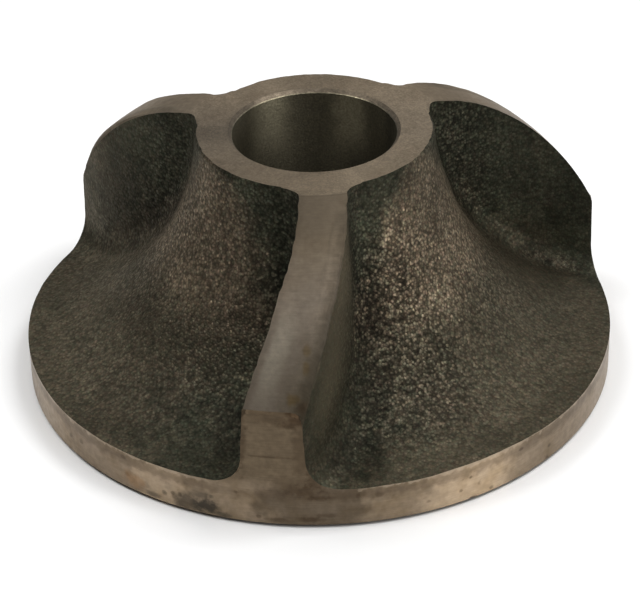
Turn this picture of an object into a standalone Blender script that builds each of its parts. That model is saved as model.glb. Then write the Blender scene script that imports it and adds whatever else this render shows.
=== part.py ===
# Water pump impeller: one iron casting with a bored hub and three curved vanes on a round back plate.
# Between the vanes lie three cast pockets that sweep down from the hub to the rim.
# Metres, +Z up. The origin is the centre of the flat back face, and the shaft bore runs along Z.

import math

import bmesh
import bpy

MM = 0.001

# Driving dimensions, in millimetres and degrees
OUTER_RADIUS = 35.0
HUB_HEIGHT = 30.5
RIM_THICKNESS = 5.2
BORE_RADIUS = 9.525
BORE_CHAMFER = 0.45
RIM_EDGE_BREAK = 0.3
HUB_FACE_RADIUS = 13.75
VANE_COUNT = 3

# The turned crown of the vanes is one arc in section, from the flat hub face out to the rim.
CROWN_ARC_RADIUS = 26.4
CROWN_ARC_CENTRE = (10.65, 4.5)

# The pocket floor is one curve in section: down the hub, then out to the rim.
HUB_WALL_DROP = 13.3
HUB_WALL_SPREAD = 1.0
RIM_RUN_IN = 11.0

# Each side of the front vane is an arc in plan: its centre's radius and direction, then its own radius.
CONCAVE_SIDE = (33.80, 207.65, 28.08)
CONVEX_SIDE = (35.14, 207.23, 34.75)
SIDE_DRAFT = 2.0
HUB_FILLET = 2.0
RIM_FILLET = 3.5

# Divisions of the mesh
POCKET_RINGS = 15
CROWN_STEPS = 6
FILLET_STEPS = 6
FLOOR_STEPS = 20

# Merge distance for points that fall together where the fillets close on the hub, in metres
SAME_POINT = 1e-7
SHARP_ANGLE = 24.0

CROWN_START = CROWN_ARC_CENTRE[0] + math.sqrt(
    CROWN_ARC_RADIUS ** 2 - (HUB_HEIGHT - CROWN_ARC_CENTRE[1]) ** 2)


def clear_scene():
    for item in list(bpy.data.objects):
        bpy.data.objects.remove(item, do_unlink=True)


def floor_curve(step):
    """A point of the pocket floor's curve and its slope there, for a step from 0 at the hub to 1 at the rim."""
    start = (HUB_FACE_RADIUS, HUB_HEIGHT)
    below_start = (HUB_FACE_RADIUS + HUB_WALL_SPREAD, HUB_HEIGHT - HUB_WALL_DROP)
    before_end = (OUTER_RADIUS - RIM_RUN_IN, RIM_THICKNESS)
    end = (OUTER_RADIUS, RIM_THICKNESS)
    rest = 1.0 - step
    point = []
    tangent = []
    for a, b, c, d in zip(start, below_start, before_end, end):
        point.append(rest ** 3 * a + 3 * rest ** 2 * step * b + 3 * rest * step ** 2 * c + step ** 3 * d)
        tangent.append(rest ** 2 * (b - a) + 2 * rest * step * (c - b) + step ** 2 * (d - c))
    slope = math.atan2(-tangent[1], tangent[0])
    return point[0], point[1], slope


def floor_at(radius):
    """Height and slope of the pocket floor at a radius."""
    low, high = 0.0, 1.0
    for _ in range(50):
        middle = (low + high) / 2
        if floor_curve(middle)[0] < radius:
            low = middle
        else:
            high = middle
    _, height, slope = floor_curve((low + high) / 2)
    return height, slope


def crown_height(radius):
    """Height of the turned face over the hub and vanes at a radius."""
    if radius <= CROWN_START:
        return HUB_HEIGHT
    centre_r, centre_z = CROWN_ARC_CENTRE
    return centre_z + math.sqrt(CROWN_ARC_RADIUS ** 2 - (radius - centre_r) ** 2)


def fillet_at(radius):
    """Radius of the fillet between a vane and the pocket floor."""
    share = (radius - HUB_FACE_RADIUS) / (OUTER_RADIUS - HUB_FACE_RADIUS)
    return HUB_FILLET + (RIM_FILLET - HUB_FILLET) * share


def side_angle(side, radius):
    """Direction in which a vane side's arc crosses a radius, and how squarely it crosses the circle there."""
    centre_r, centre_angle, arc_radius = side
    at_origin = (radius ** 2 + centre_r ** 2 - arc_radius ** 2) / (2 * radius * centre_r)
    at_crossing = (radius ** 2 + arc_radius ** 2 - centre_r ** 2) / (2 * radius * arc_radius)
    return math.radians(centre_angle) + math.acos(at_origin), math.sin(math.acos(at_crossing))


def side_points(side, outward, radius):
    """Angle and height of the points down a vane's side at a radius, from its crown to the pocket floor."""
    crown = crown_height(radius)
    floor, slope = floor_at(radius)
    fillet = fillet_at(radius)
    square = math.cos(slope)
    rise = min(fillet, (crown - floor) * square)
    foot = floor + rise / square
    lean = (crown - foot) * math.tan(math.radians(SIDE_DRAFT))
    first_turn = math.asin(1.0 - rise / fillet)
    edge_offset = fillet * (1.0 - math.cos(first_turn))
    offsets = [(edge_offset, crown)]
    for step in range(FILLET_STEPS + 1):
        turn = first_turn + (math.pi / 2 - first_turn) * step / FILLET_STEPS
        height = floor + fillet * (1.0 - math.sin(turn)) / square
        offsets.append((lean + fillet * (1.0 - math.cos(turn)), height))
    angle, squareness = side_angle(side, radius)
    return [(angle + outward * offset / (squareness * radius), height) for offset, height in offsets]


def between(first, last, steps, height):
    """Evenly spaced angles strictly between two directions, all at one height."""
    return [(first + (last - first) * step / steps, height) for step in range(1, steps)]


def ring_at(radius):
    """Every point of the upper surface around one circle, counter-clockwise from the front vane."""
    concave = side_points(CONCAVE_SIDE, -1, radius)
    convex = side_points(CONVEX_SIDE, 1, radius)
    sector = 2 * math.pi / VANE_COUNT
    crown = between(concave[0][0], convex[0][0], CROWN_STEPS, crown_height(radius))
    floor = between(convex[-1][0], concave[-1][0] + sector, FLOOR_STEPS, floor_at(radius)[0])
    one_sector = crown + convex + floor + [(angle + sector, height) for angle, height in reversed(concave)]
    ring = []
    for vane in range(VANE_COUNT):
        ring += [(radius, angle + vane * sector, height) for angle, height in one_sector]
    return ring


def level_ring(pattern, radius, height):
    """A circle at one height whose points stand in the same directions as another ring's."""
    return [(radius, angle, height) for _, angle, _ in pattern]


def ring_radii():
    """Radii of the rings over the pockets, with one moved onto the line where the crown's arc begins."""
    radii = [floor_curve(ring / POCKET_RINGS)[0] for ring in range(POCKET_RINGS + 1)]
    nearest = min(range(1, POCKET_RINGS), key=lambda index: abs(radii[index] - CROWN_START))
    radii[nearest] = CROWN_START
    return radii


def all_rings():
    """The whole skin as a closed run of rings: hub face, pockets, rim, back face and bore."""
    upper = [ring_at(radius) for radius in ring_radii()]
    hub, rim = upper[0], upper[-1]
    mouth = BORE_RADIUS + BORE_CHAMFER
    rings = [level_ring(hub, mouth, HUB_HEIGHT)]
    rings += upper
    rings.append(level_ring(rim, OUTER_RADIUS, RIM_EDGE_BREAK))
    rings.append(level_ring(rim, OUTER_RADIUS - RIM_EDGE_BREAK, 0.0))
    rings.append(level_ring(hub, mouth, 0.0))
    rings.append(level_ring(hub, BORE_RADIUS, BORE_CHAMFER))
    rings.append(level_ring(hub, BORE_RADIUS, HUB_HEIGHT - BORE_CHAMFER))
    return rings


def skin_from_rings(rings):
    """Join each ring to the next, and the last to the first, into one closed mesh."""
    shape = bmesh.new()
    loops = []
    for ring in rings:
        loops.append([
            shape.verts.new((r * math.cos(a) * MM, r * math.sin(a) * MM, z * MM)) for r, a, z in ring])
    count = len(loops[0])
    for inner, outer in zip(loops, loops[1:] + loops[:1]):
        for column in range(count):
            following = (column + 1) % count
            shape.faces.new((inner[column], outer[column], outer[following], inner[following]))
    bmesh.ops.remove_doubles(shape, verts=shape.verts, dist=SAME_POINT)
    bmesh.ops.recalc_face_normals(shape, faces=shape.faces)
    return shape


def iron_material():
    material = bpy.data.materials.new("cast_iron")
    material.use_nodes = True
    shader = material.node_tree.nodes["Principled BSDF"]
    shader.inputs["Base Color"].default_value = (0.13, 0.115, 0.10, 1.0)
    shader.inputs["Roughness"].default_value = 0.6
    shader.inputs["Metallic"].default_value = 0.8
    return material


def build_impeller():
    shape = skin_from_rings(all_rings())
    mesh = bpy.data.meshes.new("impeller_casting")
    shape.to_mesh(mesh)
    shape.free()
    mesh.shade_smooth()
    mesh.set_sharp_from_angle(angle=math.radians(SHARP_ANGLE))
    mesh.materials.append(iron_material())
    casting = bpy.data.objects.new("impeller_casting", mesh)
    bpy.context.scene.collection.objects.link(casting)


clear_scene()
build_impeller()
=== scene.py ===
import math

import bmesh
import bpy
import numpy as np
from mathutils import Matrix, Vector, noise
from mathutils.geometry import delaunay_2d_cdt


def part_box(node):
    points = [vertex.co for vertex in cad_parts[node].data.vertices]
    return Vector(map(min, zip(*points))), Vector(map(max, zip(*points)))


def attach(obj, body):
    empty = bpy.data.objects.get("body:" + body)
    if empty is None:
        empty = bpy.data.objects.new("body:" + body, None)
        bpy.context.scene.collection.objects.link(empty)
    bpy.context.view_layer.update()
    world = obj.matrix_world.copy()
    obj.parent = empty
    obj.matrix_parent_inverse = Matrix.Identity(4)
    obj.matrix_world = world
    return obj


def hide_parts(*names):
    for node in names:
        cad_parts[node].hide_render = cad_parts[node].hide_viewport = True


# The looks of a cast iron water pump impeller. Lengths are in millimetres until the mesh is made.
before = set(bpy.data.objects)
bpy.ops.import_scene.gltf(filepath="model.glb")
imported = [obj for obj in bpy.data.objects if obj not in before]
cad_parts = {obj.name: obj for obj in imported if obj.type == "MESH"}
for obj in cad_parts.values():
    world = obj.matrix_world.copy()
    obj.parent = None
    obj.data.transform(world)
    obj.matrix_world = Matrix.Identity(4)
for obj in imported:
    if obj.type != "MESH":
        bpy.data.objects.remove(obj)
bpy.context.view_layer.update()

MM = 0.001
NODE = "impeller_casting"

# The casting's shape, as in the construction source
low_corner, high_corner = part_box(NODE)
OUTER_RADIUS = min(-low_corner[0], -low_corner[1], high_corner[0], high_corner[1]) / MM
HUB_HEIGHT = high_corner[2] / MM
RIM_THICKNESS = 5.2
BORE_RADIUS = 9.525
BORE_CHAMFER = 0.45
RIM_EDGE_BREAK = 0.3
HUB_FACE_RADIUS = 13.75
VANE_COUNT = 3
SECTOR = 2 * math.pi / VANE_COUNT
CROWN_ARC_RADIUS = 26.4
CROWN_ARC_CENTRE = (10.65, 4.5)
HUB_WALL_DROP = 13.3
HUB_WALL_SPREAD = 1.0
RIM_RUN_IN = 11.0
CONCAVE_SIDE = (33.80, 207.65, 28.08)
CONVEX_SIDE = (35.14, 207.23, 34.75)
SIDE_DRAFT = 2.0
HUB_FILLET = 2.0
RIM_FILLET = 3.5
CROWN_START = CROWN_ARC_CENTRE[0] + math.sqrt(
    CROWN_ARC_RADIUS ** 2 - (HUB_HEIGHT - CROWN_ARC_CENTRE[1]) ** 2)

# Wear that the construction source leaves out. Towards the rim the crown is worn down a little and
# the vanes' convex edges are rounded. The corner between the crown and a vane's upright end is broken,
# and the edges of the hub's face and of the rim are worn.
WEAR_START = 19.0
WEAR_DOWN = 0.3
WEAR_ROUND = 1.1
END_BREAK = 0.3
HUB_EDGE_WEAR = 0.2
RIM_WEAR = 0.15

# Mesh spacing on the cast skin, and divisions of the turned faces
SKIN_STEP = 0.275
CROWN_STEPS = 16
FILLET_SAMPLES = 24
WALL_STEP = 1.0
WALL_CLEARANCE = 0.45

# Sand-cast relief: wavelength and depth of each layer of unevenness, and the pitch and depth of the grains
RELIEF = ((16.0, 0.22), (5.0, 0.10), (1.8, 0.05), (0.9, 0.015))
GRAIN_PITCH = 0.80
GRAIN_DEPTH = 0.03

# How ragged the border between the cast skin and the turned faces is: wavelength and depth of each layer
RAGGED = ((2.2, 0.06), (0.9, 0.10))

# The direction of the front vane's upright end
VANE_END = math.radians(261.2)

# Zones of the surface, which are also the material slots
CAST, CROWN, RIM, BORE, BACK = range(5)
# The least angle of a sharp corner where zones meet, and within a turned face
ZONE_CORNER = math.radians(25.0)
TURNED_CORNER = math.radians(5.0)

# Colours of the cast skin and of the turned iron, and the ratio of light to dark across their grain
CAST_BROWN = (0.138, 0.109, 0.0735)
CAST_BLACK = (0.0300, 0.0300, 0.0196)
CAST_WORN = (0.094, 0.079, 0.050)
CAST_TINT = (0.88, 0.84, 0.77, 1.0)
CAST_CONTRAST = 60.0
HUE_SWING = (0.45, 0.20, 0.15)
SAND_PITCH = 0.31
GLINT_PITCH = 0.45
# How much lighter the glints are near the hub: partly worn grain tops, partly painted highlights.
GLINT = 1.9
CROWN_IRON = (0.243, 0.193, 0.134)
CROWN_GREY = (0.243, 0.200, 0.153)
CROWN_FILM = (0.16, 0.118, 0.076)
CROWN_SHEEN = (0.330, 0.288, 0.222)
CROWN_WORN = (0.072, 0.060, 0.038)
RIM_IRON = (0.27, 0.207, 0.142)
RIM_FILM = (0.205, 0.147, 0.086)
RIM_BARE = (0.42, 0.34, 0.25)
END_FILM = (0.145, 0.108, 0.068)
BORE_IRON = (0.165, 0.147, 0.100)
CHAMFER_IRON = (0.16, 0.13, 0.095)
TURNED_CONTRAST = 2.0
ANISOTROPY = 0.8

# Sectors of the turned faces painted lighter or darker, mostly as painted highlights, reflections and shade,
# partly as burnish and brown film: azimuth, half width and softness in degrees, and how much lighter
HUB_LIGHT_TONES = (
    (208, 40, 20, 0.80),
    (170, 22, 14, 0.82),
    (258, 20, 14, 0.93),
    (292, 14, 10, 0.78),
    (115, 18, 12, 0.84),
    (352, 28, 18, 1.22))
RIM_LIGHT_TONES = (
    (206, 8, 6, 1.25),
    (238.5, 4, 3, 1.45),
    (268.5, 9.5, 4, 0.55),
    (298, 9, 5, 1.75))
BORE_LIGHT_TONES = (
    (8, 20, 12, 0.45),
    (64, 11, 9, 2),
    (126, 15, 12, 1.9),
    (165, 12, 8, 0.8))
BORE_LIGHT_TONES_BELOW = (
    (46, 20, 12, 0.66),
    (96, 12, 10, 0.90))
CHAMFER_LIGHT_TONES = (
    (163, 26, 12, 0.60),
    (10, 30, 12, 0.70),
    (118, 10, 8, 1.25),
    (82, 11, 8, 0.78))

# Stains: azimuth in degrees, radius off the rim, height, half sizes along and up, colour, strength
RUST = (0.26, 0.135, 0.050)
UMBER = (0.055, 0.034, 0.018)
SOOT = (0.042, 0.036, 0.027)
OLIVE = (0.110, 0.075, 0.032)
RIM_STAINS = (
    (233.1, 1.8, 1.7, 1.1, RUST, 0.5),
    (237.2, 0.8, 1.1, 0.45, SOOT, 0.6),
    (239.9, 1.6, 0.4, 0.4, SOOT, 0.6),
    (244.5, 1.3, 1.8, 1.3, SOOT, 0.6),
    (248.6, 1.3, 1.9, 1.1, SOOT, 0.9),
    (251.3, 0.6, 1.3, 0.45, SOOT, 0.6),
    (247.2, 2.7, 1.2, 0.7, SOOT, 0.5),
    (249.4, 2.8, 0.3, 0.3, SOOT, 0.5),
    (266.5, 4.9, 2.6, 0.9, UMBER, 0.5),
    (269.3, 3.9, 1.4, 0.4, UMBER, 0.7),
    (267.7, 1, 1.6, 0.45, UMBER, 0.7),
    (261.5, 0.8, 1.6, 0.35, UMBER, 0.5),
    (270.4, 1.5, 1.3, 0.3, UMBER, 0.5),
    (280, 3.8, 0.6, 0.4, UMBER, 0.5),
    (264.7, 14, 1.5, 0.9, UMBER, 0.65),
    (265.5, 15.1, 1.2, 0.9, UMBER, 0.95),
    (266.4, 10.5, 1.2, 5, UMBER, 0.45),
    (255.4, 11, 0.7, 4.5, UMBER, 0.60),
    (260, 9.3, 3, 0.16, UMBER, 0.40),
    (260.5, 15, 5, 1.6, UMBER, 0.40),
    (268.5, 6.5, 1, 1.6, UMBER, 0.60),
    (263, 5.2, 4, 1.8, UMBER, 0.18),
    (297.9, 3.2, 0.3, 0.25, UMBER, 0.7),
    (295.9, 1.8, 0.3, 0.25, UMBER, 0.5),
    (289.4, 1.6, 0.4, 0.3, UMBER, 0.4),
    (309.4, 4, 0.4, 0.25, UMBER, 0.6),
    (317.3, 2, 0.4, 0.3, UMBER, 0.6),
    (316.8, 0.5, 0.4, 0.3, UMBER, 0.6),
    (298.4, 0.2, 0.6, 0.35, SOOT, 0.9),
    (230.5, 4.3, 0.4, 0.3, UMBER, 0.5),
    (214.9, 2.4, 0.4, 0.35, UMBER, 0.5))
CROWN_STAINS = (
    (265, 34, 16.4, 0.8, 0.8, OLIVE, 0.75),
    (266.6, 34.5, 15.5, 0.9, 0.9, UMBER, 0.60),
    (267.5, 31.2, 20.8, 0.5, 1.2, OLIVE, 0.60),
    (267.3, 32.3, 19.3, 0.5, 1.3, OLIVE, 0.60))

# Places where the cast skin is darker or lighter, as in the photograph: centre, half sizes, how much lighter
# The spots are partly the skin's own tone, and partly painted light and painted shade.
CAST_TONE_AND_SHADE_SPOTS = (
    ((-23.5, 11, 15), (9, 9, 9), 0.65),
    ((-17.5, 5, 17.5), (5, 6, 6), 0.60),
    ((-21.5, -19.5, 6.5), (10, 9, 12), 0.72),
    ((-12, -20, 10), (7, 8, 8), 0.75),
    ((-8.2, -16.4, 16), (4, 4.5, 4), 0.68),
    ((6.5, -18, 16), (5.5, 6, 9), 0.72),
    ((9, -22.5, 9.5), (8, 7, 6), 0.85),
    ((13.8, -22.8, 7.8), (6, 6, 5), 0.68),
    ((9, -28, 6.3), (5, 4, 4), 0.78),
    ((7.2, -23.5, 9), (4, 6, 5), 0.82),
    ((5.8, -17.8, 16), (2.5, 4.5, 4.5), 0.52),
    ((-14.4, -3.6, 24.2), (4, 5, 6), 0.78),
    ((18.2, -0.2, 16.3), (3, 3, 4), 0.80),
    ((14, -6, 24), (4, 6, 6), 0.75),
    ((30, 7.6, 6), (5, 2.5, 2.2), 0.55),
    ((27, 8.4, 7.6), (4, 2.5, 2.5), 0.52),
    ((4, -30.5, 6), (5, 5, 5), 0.60),
    ((6.5, -13.5, 25), (3.5, 4, 8), 1.45),
    ((12.5, -15, 14.5), (6, 5, 5), 1.20),
    ((-10.2, -27, 7.5), (3.5, 6, 6), 0.60),
    ((9.4, -13.7, 19.5), (2.5, 3, 3), 0.75),
    ((12, -30, 5.4), (9, 4, 4), 1.35),
    ((-16, -10.3, 15.2), (5, 5, 5), 1.40),
    ((21.5, 8, 14.5), (5, 5, 5), 1.45),
    ((25, 9.3, 12.2), (5.5, 4, 4.5), 1.65),
    ((30.5, 9.5, 9), (6, 3.2, 3), 1.85),
    ((25, 12.5, 19), (8, 8, 8), 1.25),
    ((-8.2, -11.5, 29.2), (3.5, 2.5, 2.5), 2.00),
    ((-6.6, -18.6, 13.6), (2.5, 2.5, 2.5), 1.35),
    ((-5.6, -14, 22.5), (2, 3, 6), 1.30),
    ((13, -3.5, 26.5), (3.5, 4, 4), 0.80),
    ((7.7, -11.4, 28.6), (2.5, 2.5, 3), 1.35),
    ((-8.9, -21.1, 10.4), (3, 4, 4), 1.40),
    ((14.3, -12.3, 14.5), (4, 4, 4), 1.35),
    ((19.5, 4, 16.5), (3, 4, 4), 1.35),
    ((6.5, -33, 5.3), (6, 3, 3), 1.35),
    ((4.9, -14.3, 24), (2.5, 3, 5), 1.30),
    ((-21, 8.5, 26), (6, 5, 5), 1.40),
    ((-18.5, 6.6, 20.2), (3, 3, 4), 1.30),
    ((-20, 7.4, 15.1), (2, 2.5, 2.5), 0.65),
    ((-24.2, 5, 8.7), (8, 12, 5), 1.20),
    ((6.4, -23.9, 8.6), (2, 4, 3), 0.65),
    ((2, -32.4, 5.6), (2.5, 2.5, 2.5), 0.62),
    ((13.7, -18.4, 10.3), (5, 4, 4), 0.78),
    ((-8.9, -24.2, 8.2), (3, 4, 4), 0.80),
    ((-10.2, -9.7, 27), (3.5, 3.5, 4), 0.80),
    ((-5.9, -12.8, 26.5), (3, 3, 6), 1.22),
    ((6.5, -14, 21.5), (2, 2.5, 3), 0.80),
    ((11.2, -8.8, 27), (3.5, 3.5, 4), 0.75),
    ((9.8, -14.2, 18.2), (2.5, 2.5, 2.5), 0.78),
    ((18.4, 6, 14.6), (2.5, 3, 3), 0.75),
    ((-24.4, -8.2, 8.1), (4, 4, 4), 1.15),
    ((-16.9, -20.4, 7.9), (5, 4, 4), 0.85),
    ((2.2, -27.2, 9.2), (1.9, 4.5, 3.5), 1.45),
    ((5, -25.8, 7.7), (1.5, 2.5, 2), 0.75),
    ((2.9, -24.6, 11.7), (1.8, 3, 3), 1.25),
    ((1.5, -30, 8), (1.8, 2.5, 2.5), 1.20),
    ((21.1, 8.8, 23.4), (4, 4, 6), 1.20))

# The dark place around the front vane's foot, partly soot and partly painted shade, its worn flank, and
# where the grain stands out: centre and half sizes
FRONT_FOOT_SHADE_AND_SOOT = ((-5, -27, 6), (23, 13, 30))
FRONT_FLANK = ((4, -23, 15), (13, 14, 40))
CLEAR_GRAIN = ((6, -20, 14), (20, 16, 30))

# The photograph's camera: distance, tilt and aim, and its lens on a 36 mm sensor
CAMERA_DISTANCE = 294.4
CAMERA_TILT = math.radians(32.93)
CAMERA_ROLL = math.radians(-1.4)
CAMERA_AIM = (0.18, 5.88)
CAMERA_LENS = 135.78

# The floor: its width in metres, how far it lies below the casting, and its colour
FLOOR_SIZE = 4.0
FLOOR_GAP = 0.2
PALE_GREY = (0.92, 0.92, 0.92, 1.0)

# The studio's soft lights: direction and elevation in degrees, and power in watts. They are rounded from
# a least-squares fit to the photograph's brightness, and the power at (30, 12) was then raised.
SOFTBOX_SIZE = 0.4
SOFTBOX_DISTANCE = 0.9
SOFTBOXES = (
    (0, 62, 4.0),
    (30, 12, 0.9),
    (45, 36, 0.75),
    (60, 12, 0.3),
    (90, 36, 0.5),
    (120, 12, 0.2),
    (135, 36, 1.25),
    (180, 62, 2.9),
    (240, 62, 1.0),
    (300, 62, 1.7),
    (315, 36, 0.65),
    (330, 12, 1.1))


def floor_samples():
    """Radius, height and slope along the pocket floor's curve, and the length along it, from hub to rim."""
    step = np.linspace(0.0, 1.0, 4001)
    rest = 1.0 - step
    corners = np.array((
        (HUB_FACE_RADIUS, HUB_HEIGHT),
        (HUB_FACE_RADIUS + HUB_WALL_SPREAD, HUB_HEIGHT - HUB_WALL_DROP),
        (OUTER_RADIUS - RIM_RUN_IN, RIM_THICKNESS),
        (OUTER_RADIUS, RIM_THICKNESS)))
    weights = np.stack((rest ** 3, 3 * rest ** 2 * step, 3 * rest * step ** 2, step ** 3))
    radius, height = corners.T @ weights
    slope = np.arctan2(-np.gradient(height, step), np.gradient(radius, step))
    length = np.concatenate(([0.0], np.cumsum(np.hypot(np.diff(radius), np.diff(height)))))
    return radius, height, slope, length


FLOOR_RADIUS, FLOOR_HEIGHT, FLOOR_SLOPE, FLOOR_LENGTH = floor_samples()


def wear_share(radius):
    """How worn the vanes are at a radius: 0 near the hub and 1 at the rim."""
    share = np.clip((radius - WEAR_START) / (OUTER_RADIUS - WEAR_START), 0.0, 1.0)
    return share * share * (3 - 2 * share)


def crown_height(radius):
    """Height of the turned face over the hub and vanes."""
    centre_r, centre_z = CROWN_ARC_CENTRE
    on_arc = centre_z + np.sqrt(np.maximum(CROWN_ARC_RADIUS ** 2 - (radius - centre_r) ** 2, 0.0))
    return np.where(radius <= CROWN_START, HUB_HEIGHT, on_arc - WEAR_DOWN * wear_share(radius))


def by_the_rim(points):
    """How close to the rim's upper edge each point of a pocket is: 0 away from it and 1 on it."""
    outward = np.clip((np.hypot(points[:, 0], points[:, 1]) - OUTER_RADIUS + 2.0) / 2.0, 0.0, 1.0)
    low = np.clip((RIM_THICKNESS + 3.0 - points[:, 2]) / 2.5, 0.0, 1.0)
    return outward ** 2 * low


def evenly(values, length, at):
    """Values along a path, read at other lengths along it."""
    return [np.interp(at, length, value) for value in values]


def path_length(across, height):
    return np.concatenate(([0.0], np.cumsum(np.hypot(np.diff(across), np.diff(height)))))


def side_profile(radius):
    """How far a vane's side stands out from its arc, and its height, from the crown down to the floor."""
    crown = float(crown_height(radius))
    floor = np.interp(radius, FLOOR_RADIUS, FLOOR_HEIGHT)
    square = math.cos(np.interp(radius, FLOOR_RADIUS, FLOOR_SLOPE))
    share = (radius - HUB_FACE_RADIUS) / (OUTER_RADIUS - HUB_FACE_RADIUS)
    fillet = HUB_FILLET + (RIM_FILLET - HUB_FILLET) * share
    rise = min(fillet, max(crown - floor, 0.0) * square)
    foot = floor + rise / square
    lean = (crown - foot) * math.tan(math.radians(SIDE_DRAFT))
    turn = np.linspace(math.asin(1.0 - rise / fillet), math.pi / 2, FILLET_SAMPLES)
    offsets = np.concatenate(([fillet * (1 - math.cos(turn[0]))], lean + fillet * (1 - np.cos(turn))))
    heights = np.concatenate(([crown], floor + fillet * (1 - np.sin(turn)) / square))
    return offsets, heights


def side_angle(side, radius):
    """Direction in which a vane side's arc crosses a radius, and how squarely it crosses it."""
    centre_r, centre_angle, arc = side
    from_centre = math.acos((radius ** 2 + centre_r ** 2 - arc ** 2) / (2 * radius * centre_r))
    squareness = math.sin(math.acos((radius ** 2 + arc ** 2 - centre_r ** 2) / (2 * radius * arc)))
    return math.radians(centre_angle) + from_centre, squareness


def wear_round(radius):
    """Radius of the worn edge on a vane's convex side."""
    return WEAR_ROUND * float(wear_share(radius))


def pocket_section(radius):
    """Even points across a pocket: down one vane's convex side, over the floor and up the next."""
    offsets, heights = side_profile(radius)
    worn = wear_round(radius)
    below = heights[0] - worn
    start = np.interp(-below, -heights, offsets)
    kept = heights < below - 1e-6 if worn else heights < heights[0] + 1.0
    convex_offset = np.concatenate(([start], offsets[kept])) if worn else offsets
    convex_height = np.concatenate(([below], heights[kept])) if worn else heights
    angle_a, square_a = side_angle(CONVEX_SIDE, radius)
    angle_b, square_b = side_angle(CONCAVE_SIDE, radius)
    convex = angle_a + convex_offset / (square_a * radius)
    concave = angle_b + SECTOR - offsets[::-1] / (square_b * radius)
    angle = np.concatenate((convex, concave))
    height = np.concatenate((convex_height, heights[::-1]))
    length = path_length(radius * angle, height)
    count = max(int(round(length[-1] / SKIN_STEP)), 8)
    angle, height = evenly((angle, height), length, np.linspace(0.0, length[-1], count + 1))
    return around(radius, angle, height)


def crown_section(radius):
    """Across a vane's crown, from its concave to its convex edge: share of the way, angle and drop."""
    worn = wear_round(radius)
    offsets, heights = side_profile(radius)
    end = np.interp(-(heights[0] - worn), -heights, offsets)
    angle_a, square_a = side_angle(CONVEX_SIDE, radius)
    angle_b, square_b = side_angle(CONCAVE_SIDE, radius)
    turn = np.linspace(0.0, math.pi / 2, 20)
    across = (worn + end) * np.sin(turn) - worn
    start = angle_b - offsets[0] / (square_b * radius)
    angle = np.concatenate(([start], angle_a + across / (square_a * radius)))
    drop = np.concatenate(([0.0], worn * (1 - np.cos(turn))))
    length = path_length(radius * angle, drop)
    share = np.linspace(0.0, 1.0, CROWN_STEPS + 1)
    angle, drop = evenly((angle, drop), length, share * length[-1])
    return share, angle, drop


def ring_radii():
    """Radii of the rings over the pockets, with one moved onto the line where the crown's arc begins."""
    count = int(round(FLOOR_LENGTH[-1] / SKIN_STEP))
    radii = np.interp(np.linspace(0.0, FLOOR_LENGTH[-1], count + 1), FLOOR_LENGTH, FLOOR_RADIUS)
    radii[0] = HUB_FACE_RADIUS - HUB_EDGE_WEAR
    radii[-1] = OUTER_RADIUS
    radii[np.abs(radii - CROWN_START).argmin()] = CROWN_START
    return radii


def zipper(inner, outer):
    """Triangles between two rows of vertices that run side by side with different counts."""
    faces = []
    i = j = 0
    while i < len(inner) - 1 or j < len(outer) - 1:
        if (i + 1) * (len(outer) - 1) <= (j + 1) * (len(inner) - 1):
            faces.append((inner[i], outer[j], inner[i + 1]))
            i += 1
        else:
            faces.append((inner[i], outer[j], outer[j + 1]))
            j += 1
    return faces


def turned(points, angle):
    """Points turned about the bore's axis."""
    c, s = math.cos(angle), math.sin(angle)
    x, y, z = points.T
    return np.stack((x * c - y * s, x * s + y * c, z), 1)


def skin_normals(points, faces):
    """Vertex normals of the cast skin, pointing out of the iron."""
    faces = np.array(faces)
    a, b, c = (points[faces[:, i]] for i in range(3))
    across = np.cross(b - a, c - a)
    normals = np.zeros_like(points)
    for corner in range(3):
        np.add.at(normals, faces[:, corner], across)
    normals /= np.maximum(np.linalg.norm(normals, axis=1), 1e-12)[:, None]
    return normals if np.mean(normals[:, 2]) > 0 else -normals


def relief(point):
    """How far the cast skin stands out at a point, in millimetres."""
    place = Vector(point)
    out = sum(depth * noise.noise(place / wavelength) for wavelength, depth in RELIEF)
    nearest = noise.voronoi(place / GRAIN_PITCH)[0][0]
    return out + GRAIN_DEPTH * (0.5 - nearest)


def raggedness(point):
    """How far the border of the cast skin strays at a point, in millimetres."""
    place = Vector(point) + Vector((50.0, 0.0, 0.0))
    return sum(depth * noise.noise(place / wavelength) for wavelength, depth in RAGGED)


def around(radius, angles, heights):
    return np.stack((radius * np.cos(angles), radius * np.sin(angles), heights), 1)


def polar(point):
    return math.hypot(point[0], point[1]), math.atan2(point[1], point[0])


def apart(first, second):
    """The turn from one angle to another, the short way round."""
    return (second - first + math.pi) % (2 * math.pi) - math.pi


class Casting:
    """Collects the vertices and faces of the closed skin, with each face's zone."""

    def __init__(self):
        self.points = []
        self.faces = []
        self.zones = []
        self.places = {"from_convex": [], "from_concave": [], "from_hub": [], "across_vane": []}

    def add_points(self, points, **places):
        first = len(self.points)
        self.points.extend(tuple(p) for p in points)
        for name, values in self.places.items():
            values.extend(places.get(name, [0.0] * len(points)))
        return list(range(first, first + len(points)))

    def add_faces(self, faces, zone):
        self.faces.extend(faces)
        self.zones.extend([zone] * len(faces))

    def quads(self, inner, outer, zone, closed=False):
        count = len(inner)
        last = count if closed else count - 1
        for i in range(last):
            j = (i + 1) % count
            corners = (inner[i], outer[i], outer[j], inner[j])
            self.add_faces([tuple(dict.fromkeys(corners))], zone)


def on_border(starts):
    """Which points of a pocket lie on its border with the turned faces, given where its rows start."""
    on_edge = np.zeros(starts[-1], bool)
    on_edge[starts[:-1]] = True
    on_edge[starts[1:] - 1] = True
    on_edge[:starts[1]] = True
    return on_edge


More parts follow.
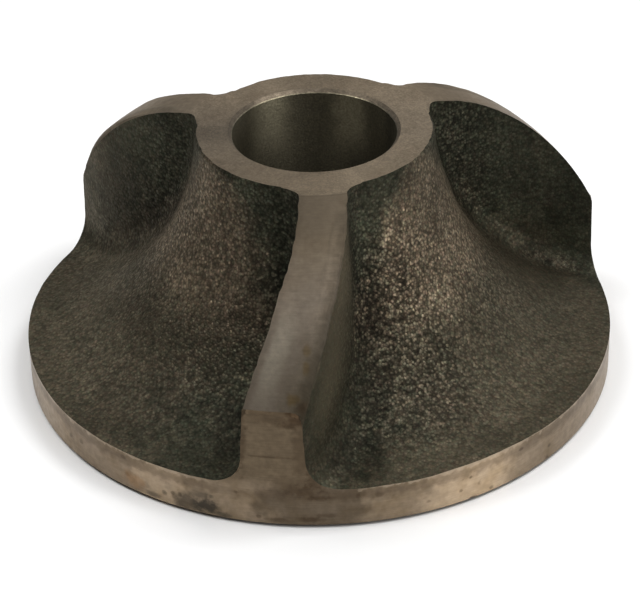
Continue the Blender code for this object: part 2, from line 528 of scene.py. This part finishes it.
def pocket_places(sizes):
    """Where each point of a pocket is, in millimetres along the skin, for the finishes to read."""
    column = np.concatenate([np.arange(size) for size in sizes])
    return {
        "across_vane": (column == 0).astype(float),
        "from_convex": column * SKIN_STEP,
        "from_concave": np.concatenate([np.arange(size)[::-1] for size in sizes]) * SKIN_STEP,
        "from_hub": np.repeat(np.arange(len(sizes)), sizes) * SKIN_STEP}


def roughened(points, outward, on_edge, on_rim, drop):
    """A pocket's points moved out by the relief, but inside the rim and under the crown."""
    height = np.array([relief(point) for point in points])
    height[on_edge] += [raggedness(point) for point in points[on_edge]]
    points = points + outward * height[:, None]
    radius = np.hypot(points[:, 0], points[:, 1])
    held = np.where(on_rim, OUTER_RADIUS, np.minimum(radius, OUTER_RADIUS))
    points[:, :2] *= (held / radius)[:, None]
    crown = crown_height(held)
    points[:, 2] = np.where(on_edge, crown - drop, np.minimum(points[:, 2], crown))
    return points


def cast_pockets(casting, radii):
    """The three rough pockets. Gives each pocket's rows of vertices from hub to rim."""
    sections = [pocket_section(radius) for radius in radii]
    sizes = [len(section) for section in sections]
    starts = np.concatenate(([0], np.cumsum(sizes)))
    rows = [range(first, last) for first, last in zip(starts, starts[1:])]
    faces = [face for inner, outer in zip(rows, rows[1:]) for face in zipper(inner, outer)]
    smooth = np.concatenate(sections)
    smooth[:, 2] -= RIM_WEAR * by_the_rim(smooth)
    normals = skin_normals(smooth, faces)
    drop = crown_height(np.hypot(smooth[:, 0], smooth[:, 1])) - smooth[:, 2]
    on_edge = on_border(starts)
    on_rim = np.arange(len(smooth)) >= starts[-2]
    places = pocket_places(sizes)
    pockets = []
    for vane in range(VANE_COUNT):
        turn = vane * SECTOR
        points = roughened(turned(smooth, turn), turned(normals, turn), on_edge, on_rim, drop)
        ids = casting.add_points(points, **places)
        casting.add_faces([tuple(ids[corner] for corner in face) for face in faces], CAST)
        pockets.append([ids[first:last] for first, last in zip(starts, starts[1:])])
    return pockets


def crown_strip(casting, radius, vane, before, after):
    """One row of vertices over a vane's crown, between the pockets' edges on both sides."""
    share, angle, drop = crown_section(radius)
    angle = angle + vane * SECTOR
    off = []
    for end, index in ((0, before), (-1, after)):
        point = casting.points[index]
        point_radius, point_angle = polar(point)
        fall = float(crown_height(point_radius)) - point[2]
        off.append((point_radius - radius, apart(angle[end], point_angle), fall - drop[end]))
    first, last = np.array(off)
    moved = first[:, None] * (1 - share) + last[:, None] * share
    level = np.cos(np.clip(drop / max(wear_round(radius), 0.01), 0.0, 1.0) * math.pi / 2)
    inset = END_BREAK * level if radius == OUTER_RADIUS else 0.0 * level
    radii = radius + moved[0] - inset
    angles = angle + moved[1]
    heights = crown_height(radii) - drop - moved[2]
    points = around(radii, angles, heights)
    casting.points[before] = tuple(points[0])
    ids = casting.add_points(points[1:-1], across_vane=share[1:-1])
    row = [before] + ids + [after]
    if radius < OUTER_RADIUS:
        return row, None
    corner = around(OUTER_RADIUS, angles, heights - inset)
    return row, casting.add_points(corner[1:-1], across_vane=share[1:-1])


def turned_crown(casting, pockets, radii):
    """The turned strips along the vanes. Gives each vane's inmost row, and the outmost under its corner."""
    inner_rows = []
    end_rows = []
    for vane in range(VANE_COUNT):
        rows = []
        before_rows, after_rows = pockets[vane - 1], pockets[vane]
        for radius, before, after in zip(radii, before_rows, after_rows):
            row, corner = crown_strip(casting, radius, vane, before[-1], after[0])
            rows.append(row)
        for inner, outer in zip(rows, rows[1:]):
            casting.quads(inner, outer, CROWN)
        end = [before_rows[-1][-2]] + corner + [after_rows[-1][0]]
        casting.quads(rows[-1], end, RIM)
        inner_rows.append(rows[0])
        end_rows.append(end)
    return inner_rows, end_rows


def level_loop(casting, angles, radius, height):
    """A circle of new vertices at one height."""
    points = [(radius * math.cos(a), radius * math.sin(a), height) for a in angles]
    return casting.add_points(points)


def hub_and_bore(casting, pockets, inner_rows):
    """The flat ring around the bore, the bore and its chamfers. Gives the bore's loop on the back face."""
    loop = []
    for vane in range(VANE_COUNT):
        loop += inner_rows[vane][:-1] + pockets[vane][0][:-1]
    angles = [polar(casting.points[i])[1] for i in loop]
    mouth = BORE_RADIUS + BORE_CHAMFER
    top = level_loop(casting, angles, mouth, HUB_HEIGHT)
    upper = level_loop(casting, angles, BORE_RADIUS, HUB_HEIGHT - BORE_CHAMFER)
    lower = level_loop(casting, angles, BORE_RADIUS, BORE_CHAMFER)
    bottom = level_loop(casting, angles, mouth, 0.0)
    casting.quads(top, loop, CROWN, closed=True)
    casting.quads(upper, top, BORE, closed=True)
    casting.quads(lower, upper, BORE, closed=True)
    casting.quads(bottom, lower, BORE, closed=True)
    return bottom


def outer_wall(casting, pockets, ends):
    """The turned rim and the vanes' upright ends, by sectors. Gives the loop along the lower edge."""
    middle = CROWN_STEPS // 2
    centres = [polar(casting.points[row[middle]])[1] for row in ends]
    posts = []
    for vane, row in enumerate(ends):
        top = casting.points[row[middle]][2]
        count = int((top - RIM_EDGE_BREAK) / WALL_STEP)
        c, s = math.cos(centres[vane]), math.sin(centres[vane])
        heights = np.linspace(RIM_EDGE_BREAK, top, count + 1)[:-1]
        post = casting.add_points([(OUTER_RADIUS * c, OUTER_RADIUS * s, h) for h in heights])
        posts.append(post + [row[middle]])
    lower = []
    for vane in range(VANE_COUNT):
        following = (vane + 1) % VANE_COUNT
        span = (centres[following] - centres[vane]) % (2 * math.pi)
        count = int(OUTER_RADIUS * span / WALL_STEP)
        angles = centres[vane] + span * np.arange(1, count) / count
        base = level_loop(casting, angles, OUTER_RADIUS, RIM_EDGE_BREAK)
        base = [posts[vane][0]] + base + [posts[following][0]]
        lower += base[:-1]
        top = ends[vane][middle:-1] + pockets[vane][-1][:-1] + ends[following][1:middle]
        outline = base + posts[following][1:] + top[:0:-1] + posts[vane][:0:-1]
        wall_sector(casting, outline, centres[vane], span)
    return lower


def wall_sector(casting, outline, start, span):
    """Fills one sector of the wall, unrolled, with points inside it so that it stays round."""
    flat = []
    for index in outline:
        angle = polar(casting.points[index])[1]
        swing = (angle - start + math.pi / 2) % (2 * math.pi) - math.pi / 2
        flat.append((OUTER_RADIUS * min(max(swing, 0.0), span), casting.points[index][2]))
    border = np.array(flat)
    inside = []
    crown = float(crown_height(OUTER_RADIUS))
    for along in np.arange(WALL_STEP / 2, OUTER_RADIUS * span, WALL_STEP):
        for height in np.arange(RIM_EDGE_BREAK + WALL_STEP, crown, WALL_STEP):
            clearance = np.hypot(*(border - (along, height)).T).min()
            if clearance > WALL_CLEARANCE and in_outline(border, along, height):
                inside.append((along, height))
    count = len(outline)
    edges = [(i, (i + 1) % count) for i in range(count)]
    found = delaunay_2d_cdt([Vector(p) for p in flat + inside], edges, [list(range(count))], 1, 1e-6)
    angles = [start + along / OUTER_RADIUS for along, _ in inside]
    added = casting.add_points([
        (OUTER_RADIUS * math.cos(a), OUTER_RADIUS * math.sin(a), p[1]) for a, p in zip(angles, inside)])
    ids = outline + added
    casting.add_faces([tuple(ids[found[3][corner][0]] for corner in face) for face in found[2]], RIM)


def in_outline(border, x, y):
    """Whether a point is inside a closed outline, by counting the crossings beside it."""
    ahead = np.roll(border, -1, axis=0)
    crosses = (border[:, 1] > y) != (ahead[:, 1] > y)
    drop = np.where(crosses, ahead[:, 1] - border[:, 1], 1.0)
    at = border[:, 0] + (y - border[:, 1]) * (ahead[:, 0] - border[:, 0]) / drop
    return np.count_nonzero(crosses & (at > x)) % 2 == 1


def back_face(casting, lower, bore_loop):
    """The broken lower edge and the flat back."""
    angles = [polar(casting.points[i])[1] for i in lower]
    rim = level_loop(casting, angles, OUTER_RADIUS - RIM_EDGE_BREAK, 0.0)
    casting.quads(lower, rim, RIM, closed=True)
    bore_start = polar(casting.points[bore_loop[0]])[1]
    offset = min(range(len(rim)), key=lambda i: abs(apart(bore_start, angles[i])))
    rim = rim[offset:] + rim[:offset + 1]
    upside_down = zipper(bore_loop + bore_loop[:1], rim)
    casting.add_faces([face[::-1] for face in upside_down], BACK)


def mark_corners(mesh):
    """Makes an edge sharp at a corner where two zones meet, or at a corner between turned faces."""
    shape = bmesh.new()
    shape.from_mesh(mesh)
    for face in shape.faces:
        face.smooth = True
    for edge in shape.edges:
        one, other = edge.link_faces
        angle = edge.calc_face_angle(0.0)
        if one.material_index != other.material_index:
            edge.smooth = angle < ZONE_CORNER
        elif one.material_index != CAST:
            edge.smooth = angle < TURNED_CORNER
    shape.to_mesh(mesh)
    shape.free()


def casting_object():
    casting = Casting()
    radii = ring_radii()
    pockets = cast_pockets(casting, radii)
    inner_rows, end_rows = turned_crown(casting, pockets, radii)
    bore_loop = hub_and_bore(casting, pockets, inner_rows)
    lower = outer_wall(casting, pockets, end_rows)
    back_face(casting, lower, bore_loop)
    mesh = bpy.data.meshes.new("iron_casting")
    mesh.from_pydata([tuple(c * MM for c in p) for p in casting.points], [], casting.faces)
    for name, values in casting.places.items():
        mesh.attributes.new(name, "FLOAT", "POINT").data.foreach_set("value", values)
    mesh.polygons.foreach_set("material_index", casting.zones)
    mark_corners(mesh)
    piece = bpy.data.objects.new("iron_casting", mesh)
    bpy.context.scene.collection.objects.link(piece)
    return piece


class Finish:
    """A material with a Principled shader, and short ways to add its nodes. Its lengths are millimetres."""

    def __init__(self, name, metallic):
        self.material = bpy.data.materials.new(name)
        self.material.use_nodes = True
        self.tree = self.material.node_tree
        self.shader = self.tree.nodes["Principled BSDF"]
        self.shader.inputs["Metallic"].default_value = metallic
        place = self.node("ShaderNodeTexCoord").outputs["Object"]
        self.place = self.vector("SCALE", place, scale=1.0 / MM)

    def node(self, kind, **settings):
        added = self.tree.nodes.new(kind)
        for name, value in settings.items():
            setattr(added, name, value)
        return added

    def put(self, socket, value):
        if isinstance(value, bpy.types.NodeSocket):
            self.tree.links.new(value, socket)
        else:
            socket.default_value = value

    def math(self, operation, first, second=0.0):
        added = self.node("ShaderNodeMath", operation=operation)
        self.put(added.inputs[0], first)
        self.put(added.inputs[1], second)
        return added.outputs[0]

    def product(self, first, *others):
        for other in others:
            first = self.math("MULTIPLY", first, other)
        return first

    def weighted(self, *parts):
        """The sum of some values, each given with its weight."""
        total = None
        for value, weight in parts:
            scaled = self.math("MULTIPLY", value, weight)
            total = scaled if total is None else self.math("ADD", total, scaled)
        return total

    def vector(self, operation, first, second=(0.0, 0.0, 0.0), scale=1.0):
        added = self.node("ShaderNodeVectorMath", operation=operation)
        self.put(added.inputs[0], first)
        self.put(added.inputs[1], second)
        self.put(added.inputs[3], scale)
        return added.outputs["Value" if operation == "LENGTH" else "Vector"]

    def scaled(self, colour, *factors):
        for factor in factors:
            colour = self.vector("SCALE", colour, scale=factor)
        return colour

    def noise(self, wavelength, detail=2.0, place=None, roughness=0.5, coloured=False):
        added = self.node("ShaderNodeTexNoise")
        self.put(added.inputs["Vector"], place or self.place)
        self.put(added.inputs["Scale"], 1.0 / wavelength)
        self.put(added.inputs["Detail"], detail)
        self.put(added.inputs["Roughness"], roughness)
        return added.outputs["Color" if coloured else "Fac"]

    def wander(self, wavelength, detail=3.0, roughness=0.5):
        """Noise about zero."""
        return self.math("SUBTRACT", self.noise(wavelength, detail, roughness=roughness), 0.5)

    def cells(self, pitch, smoothness=0.0):
        """Distance from the nearest of many scattered points, in pitches, and a random value for each."""
        added = self.node("ShaderNodeTexVoronoi", feature="SMOOTH_F1" if smoothness else "F1")
        self.put(added.inputs["Vector"], self.place)
        self.put(added.inputs["Scale"], 1.0 / pitch)
        if smoothness:
            self.put(added.inputs["Smoothness"], smoothness)
        split = self.node("ShaderNodeSeparateColor")
        self.put(split.inputs[0], added.outputs["Color"])
        return added.outputs["Distance"], split.outputs[0]

    def between(self, value, low, high, at_low=0.0, at_high=1.0):
        """A smooth step from one value to another as a number goes from low to high."""
        added = self.node("ShaderNodeMapRange", interpolation_type="SMOOTHSTEP")
        for socket, number in zip(added.inputs, (value, low, high, at_low, at_high)):
            self.put(socket, number)
        return added.outputs["Result"]

    def mix(self, share, first, second):
        added = self.node("ShaderNodeMix", data_type="RGBA")
        self.put(added.inputs["Factor"], share)
        for name, value in (("A", first), ("B", second)):
            socket = [i for i in added.inputs if i.name == name and i.type == "RGBA"][0]
            self.put(socket, value if isinstance(value, bpy.types.NodeSocket) else (*value, 1.0))
        return [o for o in added.outputs if o.type == "RGBA"][0]

    def attribute(self, name):
        return self.node("ShaderNodeAttribute", attribute_name=name).outputs["Fac"]

    def around_axis(self):
        """The point's radius, height and angle about the bore's axis."""
        parts = self.node("ShaderNodeSeparateXYZ")
        self.put(parts.inputs[0], self.place)
        radius = self.vector("LENGTH", self.vector("MULTIPLY", self.place, (1.0, 1.0, 0.0)))
        angle = self.math("ARCTAN2", parts.outputs["Y"], parts.outputs["X"])
        return radius, parts.outputs["Z"], angle

    def sector(self, angle, azimuth, half_width, softness):
        """1 within some degrees of an azimuth and 0 beyond, with a soft edge."""
        middle = math.radians(azimuth)
        middle -= 2 * math.pi * (middle > math.pi)
        away = self.math("ABSOLUTE", self.math("SUBTRACT", angle, middle))
        away = self.math("MINIMUM", away, self.math("SUBTRACT", 2 * math.pi, away))
        low, high = math.radians(half_width - softness), math.radians(half_width + softness)
        return self.between(away, low, high, 1.0, 0.0)

    def joined(self, x, y, z):
        added = self.node("ShaderNodeCombineXYZ")
        for socket, value in zip(added.inputs, (x, y, z)):
            self.put(socket, value)
        return added.outputs[0]

    def bump(self, height, depth):
        """A bump of a depth in millimetres."""
        added = self.node("ShaderNodeBump")
        self.put(added.inputs["Height"], height)
        self.put(added.inputs["Distance"], depth * MM)
        return added.outputs["Normal"]

    def blob(self, centre, size, wander=0.0):
        """A soft-edged region around a place, 1 at its heart and 0 outside its half sizes."""
        away = self.vector("SUBTRACT", self.place, centre)
        away = self.vector("MULTIPLY", away, tuple(1.0 / s for s in size))
        reach = self.math("ADD", self.vector("LENGTH", away), wander)
        return self.between(reach, 0.25, 1.0, 1.0, 0.0)

    def done(self, colour, roughness, normal):
        self.put(self.shader.inputs["Base Color"], colour)
        self.put(self.shader.inputs["Roughness"], roughness)
        self.put(self.shader.inputs["Normal"], normal)
        return self.material


def burnish_and_painted_light(f, from_hub, patches, fine_patches, ragged):
    """Burnish with painted light and shade: 0 in the corners, about 1 on the hub's cone, in patches."""
    wander = f.weighted((patches, 7.0), (fine_patches, 2.0))
    narrowing = f.between(from_hub, 0, 14, 1.7, 1)
    from_convex = f.math("ADD", f.product(f.attribute("from_convex"), narrowing), wander)
    from_concave = f.math("ADD", f.product(f.attribute("from_concave"), narrowing), wander)
    foot = f.blob(*FRONT_FOOT_SHADE_AND_SOOT, ragged)
    cone = f.product(f.between(from_hub, 13, 21, 1, 0.34), f.between(from_hub, 0.5, 4, 0.80, 1))
    clear_of_convex = f.between(from_convex, 13, 21)
    clear_of_convex = f.math("MAXIMUM", clear_of_convex, f.between(from_hub, 20, 32, 0, 0.6))
    clear = f.product(f.between(from_concave, 15, 24), clear_of_convex)
    light = f.product(cone, clear, f.between(foot, 0, 1, 1, 0.10))
    light = f.weighted((light, 1.0), (patches, 0.45), (fine_patches, 0.30))
    light = f.math("MAXIMUM", f.math("SUBTRACT", light, 0.375), 0.0)
    return f.math("MINIMUM", light, 1.3)


def worn_flank(f, from_hub, patches):
    """How far the front vane's convex flank is worn smooth, and its colour where it is."""
    worn = f.weighted((f.attribute("from_convex"), 1.0), (patches, 6.0))
    worn = f.between(worn, 4, 20, 1, 0)
    nearby = f.product(f.blob(*FRONT_FLANK), f.between(from_hub, 4, 16))
    # Painted light and shade on the worn flank: darker by the hub and high up, lighter outwards and low
    # down.
    shading_by_hub = f.between(from_hub, 10, 24, 0.70, 2)
    shading_by_height = f.between(f.around_axis()[1], 9, 21, 1.55, 0.48)
    return f.product(worn, nearby), f.scaled(CAST_WORN, shading_by_hub, shading_by_height)


def grain_strength(f, from_hub, worn):
    """How strongly the grain shows: less where worn, by the hub, at the rim and by the convex sides."""
    return f.product(
        f.between(f.blob(*CLEAR_GRAIN), 0, 1, 0.70, 1.04),
        f.between(worn, 0, 1, 1, 0.55),
        f.between(from_hub, 14, 28, 1, 0.52),
        f.between(from_hub, 3, 12, 0.75, 1),
        f.between(f.attribute("from_convex"), 3, 12, 0.60, 1))


def grained(f, colour, strength, from_hub):
    """A colour speckled with sand grains and glints, its swing of tone and the grain's height."""
    from_grain, grain = f.cells(SAND_PITCH, 0.4)
    soft = f.noise(0.6, detail=2.0)
    swing = f.weighted((grain, 0.45), (soft, 0.50), (from_grain, -0.35))
    swing = f.product(f.math("SUBTRACT", swing, 0.36), strength)
    colour = f.scaled(colour, f.math("POWER", CAST_CONTRAST, swing))
    # Glints: bright grain tops, partly worn bare and partly painted highlights, brighter near the hub.
    from_glint, glint = f.cells(GLINT_PITCH)
    glint = f.product(f.between(from_glint, 0.15, 0.50, 1, 0), f.between(glint, 0.65, 0.90))
    dulled = f.between(from_hub, 14, 28, GLINT, 1.2)
    colour = f.scaled(colour, f.between(glint, 0, 1, 1, dulled))
    tints = f.vector("MULTIPLY", f.noise(0.45, detail=1.0, coloured=True), HUE_SWING)
    tints = f.vector("ADD", tints, tuple(1.0 - reach / 2 for reach in HUE_SWING))
    colour = f.vector("MULTIPLY", colour, tints)
    height = f.weighted((from_grain, -0.6), (soft, 0.5), (glint, 0.3))
    height = f.product(height, f.between(from_hub, 14, 28, 1, 0.4))
    return colour, swing, height


def cast_skin():
    """Sand-cast skin: brown on the hub's cone, black in the corners, smooth on the front vane's flank."""
    f = Finish("cast_skin", metallic=0.9)
    f.shader.inputs["Specular Tint"].default_value = CAST_TINT
    from_hub = f.attribute("from_hub")
    patches = f.noise(5.0, detail=4.0, roughness=0.6)
    fine_patches = f.noise(1.6, detail=2.0)
    ragged = f.product(f.wander(2.5, roughness=0.6), 0.7)
    light = burnish_and_painted_light(f, from_hub, patches, fine_patches, ragged)
    # Black in the corners is partly painted shade, and brown on the cone partly painted light.
    colour = f.mix(light, CAST_BLACK, CAST_BROWN)
    colour = f.scaled(colour, f.between(from_hub, 29, 33, 1, 1.15))
    # Spots of painted light and shade, mixed with the skin's own tone.
    for centre, size, factor in CAST_TONE_AND_SHADE_SPOTS:
        spot = f.blob(centre, size, ragged)
        colour = f.scaled(colour, f.between(spot, 0, 1, 1, factor))
    worn, smoothed = worn_flank(f, from_hub, patches)
    colour = f.mix(worn, colour, smoothed)
    colour, swing, height = grained(f, colour, grain_strength(f, from_hub, worn), from_hub)
    roughness = f.between(swing, -0.15, 0.15, 0.66, 0.46)
    return f.done(colour, roughness, f.bump(height, 0.10))


def turned_base(name, across, rough):
    """Turned iron with fine tool lines around the axis, and what its finishes build on."""
    f = Finish(name, metallic=0.9)
    f.shader.inputs["Anisotropic"].default_value = ANISOTROPY
    f.shader.inputs["Anisotropic Rotation"].default_value = 0.25
    tangent = f.node("ShaderNodeTangent", direction_type="RADIAL", axis="Z")
    f.put(f.shader.inputs["Tangent"], tangent.outputs[0])
    radius, height, angle = f.around_axis()
    step = radius if across == "radius" else height
    lines = f.noise(0.15, detail=2.0, place=f.joined(step, f.product(angle, 1.6), 0.0))
    soft = f.noise(0.7, detail=3.0)
    swing = f.weighted((lines, 0.35), (soft, 0.65))
    swing = f.math("SUBTRACT", swing, 0.5)
    roughness = f.between(swing, -0.15, 0.15, rough + 0.04, rough - 0.04)
    return f, radius, height, angle, swing, roughness


def toned(f, colour, angle, tones):
    """Lightens or darkens a colour in sectors: azimuth, half width and softness in degrees, and factor."""
    angle = f.weighted((angle, 1.0), (f.wander(2.2), 0.25))
    for azimuth, half_width, softness, factor in tones:
        within = f.sector(angle, azimuth, half_width, softness)
        colour = f.scaled(colour, f.between(within, 0, 1, 1, factor))
    return colour


def shaded(f, colour, swing, contrast=TURNED_CONTRAST):
    return f.scaled(colour, f.math("POWER", contrast, swing))


def stained(f, colour, stains):
    """Lays ragged stains over a colour: azimuth, radius, height, half sizes, colour and strength."""
    wander = f.wander(0.9, roughness=0.6)
    for azimuth, radius, height, along, up, stain, strength in stains:
        a = math.radians(azimuth)
        centre = (radius * math.cos(a), radius * math.sin(a), height)
        away = f.vector("SUBTRACT", f.place, centre)
        away = f.vector("MULTIPLY", away, (1.0 / along, 1.0 / along, 1.0 / up))
        reach = f.weighted((f.vector("LENGTH", away), 1.0), (wander, 1.6))
        colour = f.mix(f.between(reach, 0.35, 1.25, strength, 0), colour, stain)
    return colour


def crown_colour(f, radius, across, patches):
    """Bare iron, greyer outwards, with a brown film, a painted sheen as a bright streak and a dull worn
    edge.
    """
    colour = f.mix(f.between(radius, 21, 28), CROWN_IRON, CROWN_GREY)
    colour = f.mix(f.between(patches, 0.40, 0.75, 0, 0.35), colour, CROWN_FILM)
    sheen = f.product(
        f.between(across, 0.05, 0.18),
        f.between(across, 0.26, 0.52, 1, 0),
        f.between(radius, 27.5, 31),
        f.between(radius, 32.5, 35, 0.9, 0.1))
    colour = f.mix(sheen, colour, CROWN_SHEEN)
    fade_start = f.between(radius, 24, 34.5, 0.74, 0.21)
    fade_end = f.between(radius, 24, 34.5, 1.58, 1.19)
    worn_off = f.product(f.between(across, fade_start, fade_end), f.between(radius, CROWN_START, 16.5))
    return f.mix(worn_off, colour, CROWN_WORN), worn_off


def crown_painted_light(f, colour, radius, across, at_edge, front):
    """Paints light and shade into the crown's colour along and across the vanes, and over the hub."""
    # Painted light on the front vane and painted shade on the others, and painted shade on the rounded
    # convex edge.
    on_vanes = f.between(front, 0, 1, 1.14, 0.81)
    beyond_hub = f.between(radius, CROWN_START - 0.2, CROWN_START)
    along_edge = f.between(radius, 22, 34, 0.67, 1.08)
    return f.scaled(
        colour,
        f.between(across, 0.02, 0.14, 0.84, 1),
        f.between(beyond_hub, 0, 1, 1.08, on_vanes),
        f.between(radius, 20, 22.5, 0.97, 1.11),
        f.between(radius, 28, 30.5, 1.02, 0.95),
        f.between(at_edge, 0, 0.42, 1, along_edge))


def crown_finish():
    """The hub's finely speckled face, and the vanes' crowns, browner towards their worn edge."""
    f, radius, _, angle, swing, roughness = turned_base("turned_crown", "radius", 0.46)
    speckle = f.wander(0.22, 1.0)
    on_hub = f.between(radius, CROWN_START - 0.3, CROWN_START + 0.1, 1, 0.15)
    swing = f.weighted((swing, 1.0), (f.product(speckle, on_hub), 1.3))
    patches = f.noise(4.0, detail=3.0)
    across = f.weighted((f.attribute("across_vane"), 1.0), (patches, 0.10), (f.noise(1.2), 0.05))
    across = f.math("SUBTRACT", across, 0.075)
    colour, worn_off = crown_colour(f, radius, across, patches)
    at_edge = f.product(f.between(across, 0.58, 0.86), f.between(radius, 16, 22))
    front = f.sector(angle, 265.0, 45.0, 15.0)
    colour = crown_painted_light(f, colour, radius, across, at_edge, front)
    f.put(f.shader.inputs["Anisotropic"], f.between(at_edge, 0, 1, ANISOTROPY, 0))
    roughness = f.weighted((roughness, 1.0), (worn_off, 0.15), (at_edge, 0.25))
    # Sectors of painted highlight and shade around the axis, partly brown film.
    colour = toned(f, colour, angle, HUB_LIGHT_TONES)
    colour = stained(f, colour, CROWN_STAINS)
    from_seam = f.math("ABSOLUTE", f.math("SUBTRACT", radius, CROWN_START))
    seam = f.between(from_seam, 0.05, 0.16, 0.85, 1)
    colour = f.scaled(colour, f.between(front, 0, 1, 1, seam))
    return f.done(shaded(f, colour, swing), roughness, f.bump(swing, 0.02))


def rim_edge(f, colour, height, angle):
    """A dark film below the rim's upper edge, and a thin bare line along the edge itself."""
    at_lip = f.weighted((height, 1.0), (f.wander(0.9), 1.6))
    by_vane = f.math("COSINE", f.product(f.math("SUBTRACT", angle, VANE_END), VANE_COUNT))
    film = f.product(
        f.between(at_lip, 3, 4, 0, 0.42),
        f.between(at_lip, 4.4, 4.95, 1, 0.35),
        f.between(by_vane, 0.80, 0.90, 1, 0.6))
    bare = f.product(
        f.between(at_lip, 4.70, 4.90),
        f.between(height, 5.3, 5.7, 1, 0),
        f.between(by_vane, 0.60, 0.85, 0.5, 0))
    return f.mix(bare, f.mix(film, colour, UMBER), RIM_BARE)


def rim_finish():
    """The rim and the vanes' upright ends, with a brown film and the stains seen in the photograph."""
    f, _, height, angle, swing, roughness = turned_base("turned_rim", "height", 0.40)
    patches = f.noise(3.5, detail=5.0, roughness=0.6)
    colour = f.mix(f.between(patches, 0.35, 0.80), RIM_IRON, RIM_FILM)
    # Sectors of painted highlight and reflection, with painted shade at the front, partly burnish.
    colour = toned(f, colour, angle, RIM_LIGHT_TONES)
    colour = rim_edge(f, colour, height, angle)
    colour = f.mix(f.between(height, 4.6, 7), colour, END_FILM)
    specks = f.weighted((f.cells(3.1)[0], 1.0), (f.noise(0.8), 0.25))
    colour = f.mix(f.between(specks, 0.18, 0.27, 0.5, 0), colour, UMBER)
    colour = stained(f, colour, [(azimuth, OUTER_RADIUS, *stain) for azimuth, *stain in RIM_STAINS])
    # A thin darker line along the rim's foot: painted shade where it meets the floor.
    colour = f.mix(f.between(height, 0.10, 0.45, 0.15, 0), colour, UMBER)
    return f.done(shaded(f, colour, swing), roughness, f.bump(swing, 0.02))


def bore_finish():
    """The dark bore with its two chamfers, with painted highlights in sectors and painted shade deeper down.
    """
    f, radius, height, angle, swing, roughness = turned_base("bored_iron", "height", 0.42)
    # Painted highlight streaks and shade in sectors, upper and lower.
    upper_highlights = toned(f, BORE_IRON, angle, BORE_LIGHT_TONES)
    below = toned(f, BORE_IRON, angle, BORE_LIGHT_TONES_BELOW)
    colour = f.mix(f.between(height, 20.5, 27), below, upper_highlights)
    # Painted shade: darker deeper in the bore.
    colour = f.scaled(colour, f.between(height, 12, 25, 0.5, 1.05))
    swing = f.weighted((swing, 1.0), (f.wander(0.24, 1.0), 1.0))
    chamfer = f.between(radius, BORE_RADIUS + 0.02, BORE_RADIUS + 0.12)
    # The chamfers' painted highlights and shade, in sectors.
    colour = f.mix(chamfer, colour, toned(f, CHAMFER_IRON, angle, CHAMFER_LIGHT_TONES))
    f.put(f.shader.inputs["Anisotropic"], f.between(chamfer, 0, 1, ANISOTROPY, 0))
    roughness = f.weighted((roughness, 1.0), (chamfer, 0.18))
    return f.done(shaded(f, colour, swing, 3.0), roughness, f.bump(swing, 0.03))


def back_finish():
    """The flat back, plainly turned, with a brown film in patches."""
    f, _, _, _, swing, roughness = turned_base("turned_back", "radius", 0.46)
    patches = f.noise(4.5, detail=5.0, roughness=0.6)
    colour = f.mix(f.between(patches, 0.42, 0.75), CROWN_IRON, RIM_FILM)
    return f.done(shaded(f, colour, swing), roughness, f.bump(swing, 0.02))


def add_camera():
    data = bpy.data.cameras.new("camera")
    data.lens = CAMERA_LENS
    data.sensor_width = 36.0
    data.clip_start = 0.01
    camera = bpy.data.objects.new("camera", data)
    bpy.context.scene.collection.objects.link(camera)
    forward = Vector((0.0, math.cos(CAMERA_TILT), -math.sin(CAMERA_TILT)))
    right = Vector((1.0, 0.0, 0.0))
    up = right.cross(forward)
    place = (-forward * CAMERA_DISTANCE + right * CAMERA_AIM[0] + up * CAMERA_AIM[1]) * MM
    c, s = math.cos(CAMERA_ROLL), math.sin(CAMERA_ROLL)
    axes = Matrix((right * c + up * s, up * c - right * s, -forward)).transposed()
    camera.matrix_world = Matrix.Translation(place) @ axes.to_4x4()
    bpy.context.scene.camera = camera


def add_floor():
    bpy.ops.mesh.primitive_plane_add(size=FLOOR_SIZE, location=(0.0, 0.0, -FLOOR_GAP * MM))
    floor = bpy.context.object
    floor.name = "floor"
    material = bpy.data.materials.new("pale_floor")
    material.use_nodes = True
    shader = material.node_tree.nodes["Principled BSDF"]
    shader.inputs["Base Color"].default_value = PALE_GREY
    shader.inputs["Roughness"].default_value = 0.25
    floor.data.materials.append(material)


def add_softbox(direction, elevation, power):
    """A square soft light that faces the object."""
    name = f"softbox_{direction}_{elevation}"
    data = bpy.data.lights.new(name, "AREA")
    data.shape = "SQUARE"
    data.size = SOFTBOX_SIZE
    data.energy = power
    light = bpy.data.objects.new(name, data)
    a, e = math.radians(direction), math.radians(elevation)
    towards = Vector((math.cos(a) * math.cos(e), math.sin(a) * math.cos(e), math.sin(e)))
    light.location = towards * SOFTBOX_DISTANCE
    light.rotation_euler = towards.to_track_quat("Z", "Y").to_euler()
    bpy.context.scene.collection.objects.link(light)


def add_lights():
    world = bpy.data.worlds.new("studio")
    world.use_nodes = True
    background = world.node_tree.nodes["Background"]
    background.inputs["Color"].default_value = (1.0, 0.98, 0.95, 1.0)
    background.inputs["Strength"].default_value = 0.01
    scene = bpy.context.scene
    scene.world = world
    scene.view_settings.view_transform = "Standard"
    for direction, elevation, power in SOFTBOXES:
        add_softbox(direction, elevation, power)


piece = casting_object()
for finish in (cast_skin(), crown_finish(), rim_finish(), bore_finish(), back_finish()):
    piece.data.materials.append(finish)
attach(piece, "root")
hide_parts(NODE)
add_camera()
add_floor()
add_lights()
